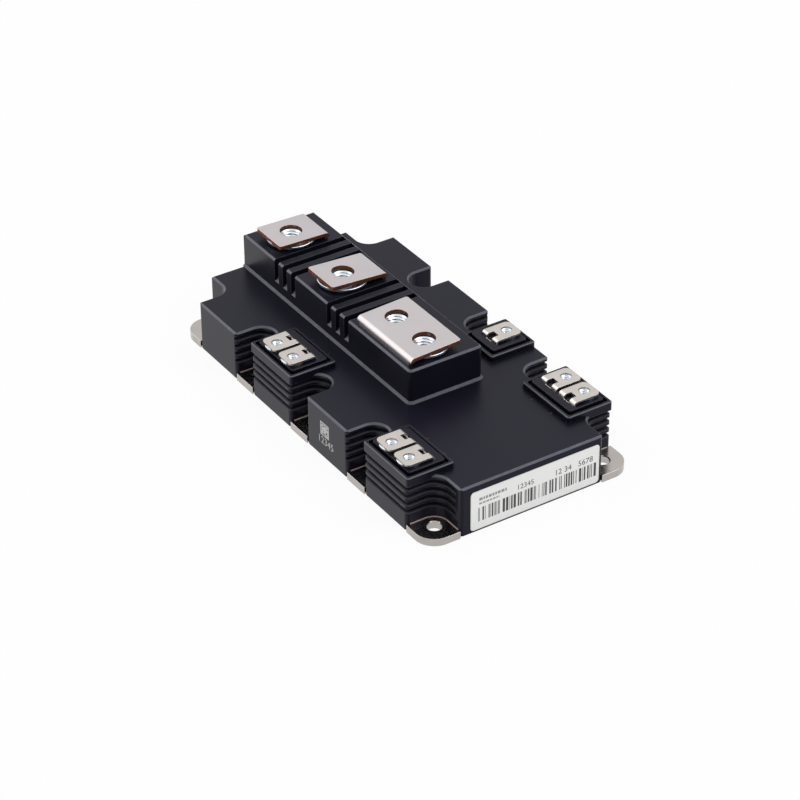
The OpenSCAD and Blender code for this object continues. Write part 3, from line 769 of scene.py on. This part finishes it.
def makeNuts(name, node, size):
    shape = bmesh.new()
    low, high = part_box(node)
    spots = [spot for spot, radius in screws if abs(radius - size["minor"]) < 0.05]
    for spot in spots:
        gap = min(math.dist(spot[:2], other[:2]) for other in spots if other is not spot)
        flange = size["crowded"] if gap < 2 * size["flange"] * mm else size["flange"]
        addNut(shape, size, flange, spot, low[2], high[2])
    bmesh.ops.recalc_face_normals(shape, faces=shape.faces)
    piece = makePiece(name, shape, finishes["zinc"], smooth=True)
    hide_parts(node)


makeNuts("busbarNuts", "m8_nuts", nutLook["m8"])
makeNuts("tabNuts", "m4_nuts", nutLook["m4"])
print("threaded nuts made")


def addSlab(shape, corner, right, up, width, height, thick):
    # a thin printed field, its edges a little drawn in
    out = right.cross(up)
    inset = min(width, height, thick * 6) * 0.12
    rows = []
    for lift, shrink in ((0.0, 0.0), (thick * 0.6, 0.0), (thick, inset)):
        a = corner + right * shrink + up * shrink + out * lift
        w = width - 2 * shrink
        h = height - 2 * shrink
        rows.append([shape.verts.new(p) for p in (a, a + right * w, a + right * w + up * h, a + up * h)])
    shape.faces.new(rows[0][::-1])
    shape.faces.new(rows[2])
    for k in range(2):
        for j in range(4):
            n = (j + 1) % 4
            shape.faces.new((rows[k][j], rows[k][n], rows[k + 1][n], rows[k + 1][j]))


def addDigits(shape, words, size, corner, right, up, thick):
    # raised or printed numerals, lower left corner at corner
    data = bpy.data.curves.new("digits", "FONT")
    data.body = words
    data.size = size
    data.extrude = thick / 2
    data.resolution_u = 3
    thing = bpy.data.objects.new("digits", data)
    bpy.context.scene.collection.objects.link(thing)
    bpy.context.view_layer.update()
    solved = thing.evaluated_get(bpy.context.evaluated_depsgraph_get())
    mesh = bpy.data.meshes.new_from_object(solved)
    out = right.cross(up)
    turn = Matrix((right, up, out)).transposed().to_4x4()
    mesh.transform(Matrix.Translation(corner + out * thick / 2) @ turn)
    shape.from_mesh(mesh)
    bpy.data.meshes.remove(mesh)
    bpy.data.objects.remove(thing)
    bpy.data.curves.remove(data)


alongX = Vector((1, 0, 0))
alongY = Vector((0, 1, 0))
alongZ = Vector((0, 0, 1))

printPlan = {
    "seed": 11,
    "module": 0.36 * mm,
    "barFoot": 3.2 * mm,      # above the label's lower edge
    "barHeight": 5.8 * mm,
    "barEnds": (3.2 * mm, 1.2 * mm),
    "barFill": 0.92,
    "darkShare": 0.72,        # of the bars; the rest are faint
    # numerals, how far along and how high they start, and their size
    "numerals": (
        ("12 34", 35.9 * mm, 10.1 * mm, 3.3 * mm),
        ("5678", 46.2 * mm, 10.1 * mm, 3.3 * mm),
        ("12345", 19.6 * mm, 10.3 * mm, 3.0 * mm),
    ),
    # rows of short fields: where they start, how long and how tall they are
    "rows": (
        (3.6 * mm, 12.0 * mm, 12.0 * mm, 1.2 * mm),
        (3.6 * mm, 10.4 * mm, 8.6 * mm, 0.7 * mm),
    ),
    "rowGap": 0.35 * mm,
    "lift": 0.006 * mm,
    "thick": 0.012 * mm,
}


def makeLabelPrint():
    # plain bars, numerals and rows that say nothing
    plan = printPlan
    low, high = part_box("label")
    face = high[0] + plan["lift"]
    dark = bmesh.new()
    faded = bmesh.new()
    dice = random.Random(plan["seed"])
    y = low[1] + plan["barEnds"][0]
    last = high[1] - plan["barEnds"][1]
    while y < last - 3 * plan["module"]:
        wide = dice.choice((1, 1, 2, 2, 3)) * plan["module"]
        target = dark if dice.random() < plan["darkShare"] else faded
        foot = Vector((face, y, low[2] + plan["barFoot"]))
        addSlab(target, foot, alongY, alongZ, wide * plan["barFill"], plan["barHeight"], plan["thick"])
        y += wide + dice.choice((1, 1, 2, 3)) * plan["module"]
    for words, along, above, size in plan["numerals"]:
        corner = Vector((face, low[1] + along, low[2] + above))
        addDigits(dark, words, size, corner, alongY, alongZ, plan["thick"])
    for along, above, length, tall in plan["rows"]:
        at = 0.0
        while at < length:
            run = dice.uniform(0.5, 1.6) * mm
            corner = Vector((face, low[1] + along + at, low[2] + above))
            addSlab(faded, corner, alongY, alongZ, min(run, length - at), tall, plan["thick"])
            at += run + plan["rowGap"]
    makePiece("labelPrint", dark, printInk("labelInk", labelLook["ink"]))
    makePiece("labelFaintPrint", faded, printInk("fadedInk", labelLook["faded"]))


makeLabelPrint()

markPlan = {
    "seed": 5,
    "cells": 12,
    "side": 5.8 * mm,
    "start": (15.2 * mm, 9.7 * mm),
    "numeral": ("12345", 4.3 * mm, (13.4 * mm, 6.1 * mm)),
    "shade": (0.50, 0.49, 0.48),
    "fill": 0.84,             # share of the inner cells that are marked
    "cellFill": 0.99,
    "lift": 0.004 * mm,
    "thick": 0.012 * mm,
}


def makeSideMark():
    # a square of random cells and plain numerals, bleached into the near wall
    plan = markPlan
    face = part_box("housing")[0][1] - plan["lift"]
    shape = bmesh.new()
    dice = random.Random(plan["seed"])
    cell = plan["side"] / plan["cells"]
    for i in range(plan["cells"]):
        for j in range(plan["cells"]):
            rim = i in (0, plan["cells"] - 1) or j in (0, plan["cells"] - 1)
            if rim or dice.random() < plan["fill"]:
                corner = Vector((plan["start"][0] + i * cell, face, plan["start"][1] + j * cell))
                wide = cell * plan["cellFill"]
                addSlab(shape, corner, alongX, alongZ, wide, wide, plan["thick"])
    words, size, (x, z) = plan["numeral"]
    addDigits(shape, words, size, Vector((x, face, z)), alongX, alongZ, plan["thick"])
    makePiece("sideMark", shape, printInk("bleachedMark", plan["shade"], 0.6))


makeSideMark()

numberPlan = {
    "size": 2.2 * mm,
    "away": 14.95 * mm,    # from the tab's screw towards the module's middle
    "halfWide": 0.6 * mm,
    "thick": 0.06 * mm,
    "sunk": 0.01 * mm,
    "smallBore": 2.0,      # the tabs' screws have a smaller radius than this
    "levels": (15.0 * mm, 30.0 * mm),
}


def makeNumbers():
    # small raised numerals beside the tabs
    plan = numberPlan
    tabs = [spot for spot, radius in screws if radius < plan["smallBore"]]
    shape = bmesh.new()
    level = bodyLevel() - plan["sunk"]
    for i, spot in enumerate(tabs):
        side = 1 if spot[1] > 0 else -1
        y = spot[1] - side * plan["away"] - plan["size"] * 0.35
        corner = Vector((spot[0] - plan["halfWide"], y, level))
        addDigits(shape, str(i + 1), plan["size"], corner, alongX, alongY, plan["thick"])
    makePiece("raisedNumbers", shape, mouldedPlastic("raisedPlastic", 1.8))


def bodyLevel():
    # the flat top of the low part of the housing: the widest upward area below the block
    areas = {}
    low, high = numberPlan["levels"]
    mesh = nodes["housing"].data
    for face in mesh.polygons:
        if face.normal.z > 0.99 and low < face.center.z < high:
            key = round(face.center.z, 5)
            areas[key] = areas.get(key, 0.0) + face.area
    return max(areas, key=areas.get)


makeNumbers()
print("label print, side mark and numerals made")
